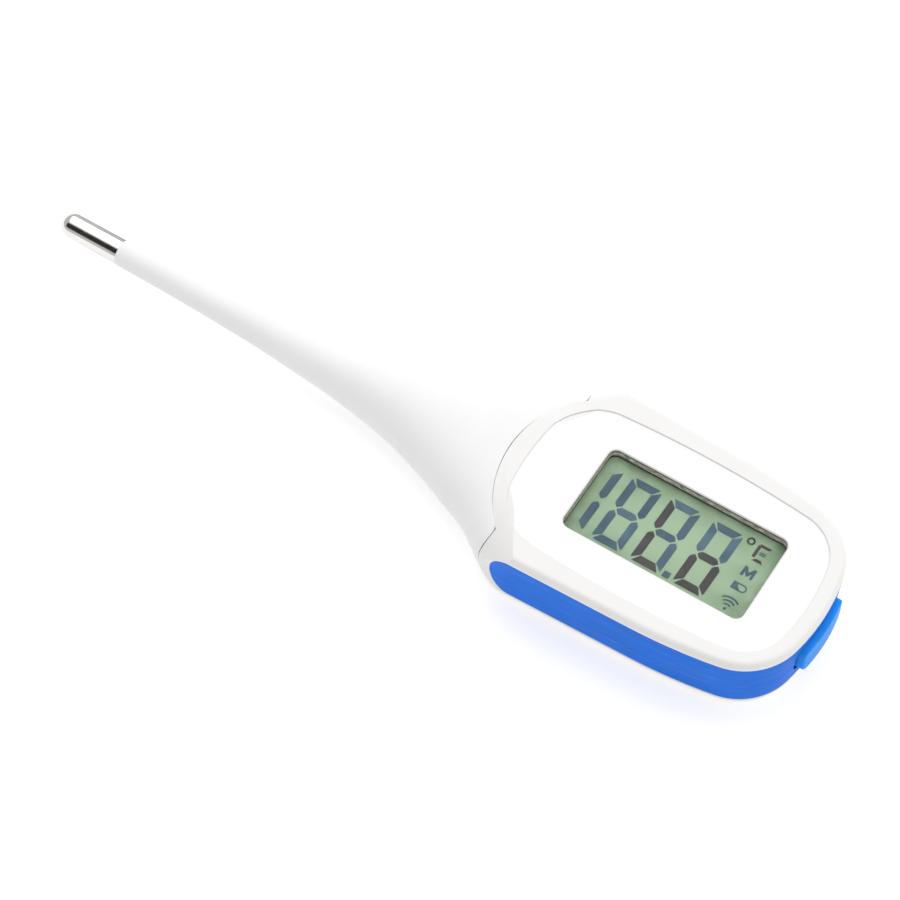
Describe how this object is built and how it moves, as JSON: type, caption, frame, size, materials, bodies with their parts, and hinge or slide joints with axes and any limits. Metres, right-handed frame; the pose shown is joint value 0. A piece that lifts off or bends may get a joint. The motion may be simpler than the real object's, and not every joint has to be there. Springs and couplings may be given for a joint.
{
  "type": "digital thermometer",
  "caption": "Clinical thermometer with a large segment display in a rounded housing, a side band, an end button and a tapered flexible stem with a steel probe cap.",
  "frame": {"origin": "centre of the bounding box at the level of the flat back", "axes": "+X along the stem towards the button end, +Z out through the display, +Y across"},
  "size_m": [0.1438, 0.0358, 0.0135],
  "materials": {
    "white_housing": "smooth satin moulding",
    "blue_band": "smooth satin, with fine rubbed scratches",
    "blue_button": "smooth satin",
    "grey_seal": "matte",
    "steel": "zinc plated",
    "clear_lens": "clear, polished",
    "frame_metal": "stamped, bright",
    "lcd_glass": "ground edges",
    "lcd_face": "grey-green display with dark segments",
    "strip_rubber": "matte",
    "board": "green solder mask",
    "black_resin": "matte",
    "ceramic": "matte",
    "solder": "bright",
    "brass": "rolled sheet",
    "battery_can": "brushed",
    "contact_metal": "plated spring strip",
    "switch_black": "matte",
    "stem_rubber": "matte white elastomer",
    "wire": "insulated",
    "cap_steel": "polished, with fine turning marks",
    "epoxy": "cast",
    "bead": "glazed"
  },
  "bodies": {
    "housing": {"top_shell": "white_housing", "bottom_shell": "white_housing", "side_band": "blue_band", "housing_seal": "grey_seal", "housing_screws": "steel", "display_lens": "clear_lens", "lcd_frame": "frame_metal", "lcd_glass": "lcd_glass", "lcd_polariser": "lcd_face", "contact_strips": "strip_rubber", "main_board": "board", "controller_chip": "black_resin", "radio_chip": "black_resin", "crystal": "steel", "chip_components": "ceramic", "solder_joints": "solder", "sounder_disc": "brass", "sounder_ceramic": "ceramic", "battery": "battery_can", "positive_contact": "contact_metal", "negative_contact": "contact_metal", "switch_body": "switch_black", "stem_root": "stem_rubber", "stem_retainer": "white_housing", "thermistor_wires": "wire"},
    "segment_1": {"stem_link_1": "stem_rubber"},
    "segment_2": {"stem_link_2": "stem_rubber"},
    "segment_3": {"stem_link_3": "stem_rubber"},
    "segment_4": {"stem_link_4": "stem_rubber"},
    "segment_5": {"stem_link_5": "stem_rubber"},
    "probe_tip": {"stem_tip": "stem_rubber", "probe_cap": "cap_steel", "cap_epoxy": "epoxy", "thermistor": "bead"},
    "button": {"power_button": "blue_button"},
    "plunger": {"switch_plunger": "switch_black"},
    "door": {"battery_door": "white_housing", "door_seal": "grey_seal"}
  },
  "joints": [
    {"name": "stem_lift_1", "type": "hinge", "parent": "housing", "child": "segment_1", "pos_m": [-0.017, 0, 0.00675], "axis": [0, 1, 0], "range_deg": [-2, 12], "stiffness_Nm_per_rad": 0.05, "deforming": ["thermistor_wires"]},
    {"name": "stem_swing_1", "type": "hinge", "parent": "segment_1", "child": "segment_2", "pos_m": [-0.024, 0, 0.00675], "axis": [0, 0, 1], "range_deg": [-12, 12], "stiffness_Nm_per_rad": 0.05},
    {"name": "stem_lift_2", "type": "hinge", "parent": "segment_2", "child": "segment_3", "pos_m": [-0.031, 0, 0.00675], "axis": [0, 1, 0], "range_deg": [-2, 12]},
    {"name": "stem_swing_2", "type": "hinge", "parent": "segment_3", "child": "segment_4", "pos_m": [-0.038, 0, 0.00675], "axis": [0, 0, 1], "range_deg": [-12, 12]},
    {"name": "stem_lift_3", "type": "hinge", "parent": "segment_4", "child": "segment_5", "pos_m": [-0.045, 0, 0.00675], "axis": [0, 1, 0], "range_deg": [-2, 12]},
    {"name": "stem_swing_3", "type": "hinge", "parent": "segment_5", "child": "probe_tip", "pos_m": [-0.052, 0, 0.00675], "axis": [0, 0, 1], "range_deg": [-12, 12]},
    {"name": "button_press", "type": "slide", "parent": "housing", "child": "button", "axis": [-1, 0, 0], "range_m": [0, 0.0005], "stiffness_N_per_m": 2000},
    {"name": "switch_press", "type": "slide", "parent": "housing", "child": "plunger", "axis": [-1, 0, 0], "range_m": [0, 0.0005]},
    {"name": "door_turn", "type": "hinge", "parent": "housing", "child": "door", "pos_m": [0.047, 0, 0], "axis": [0, 0, -1], "range_deg": [0, 45]}
  ],
  "couplings": [
    {"joint": "stem_lift_2", "follows": "stem_lift_1", "ratio": 1},
    {"joint": "stem_lift_3", "follows": "stem_lift_1", "ratio": 1},
    {"joint": "stem_swing_2", "follows": "stem_swing_1", "ratio": 1},
    {"joint": "stem_swing_3", "follows": "stem_swing_1", "ratio": 1},
    {"joint": "switch_press", "follows": "button_press", "ratio": 1}
  ]
}
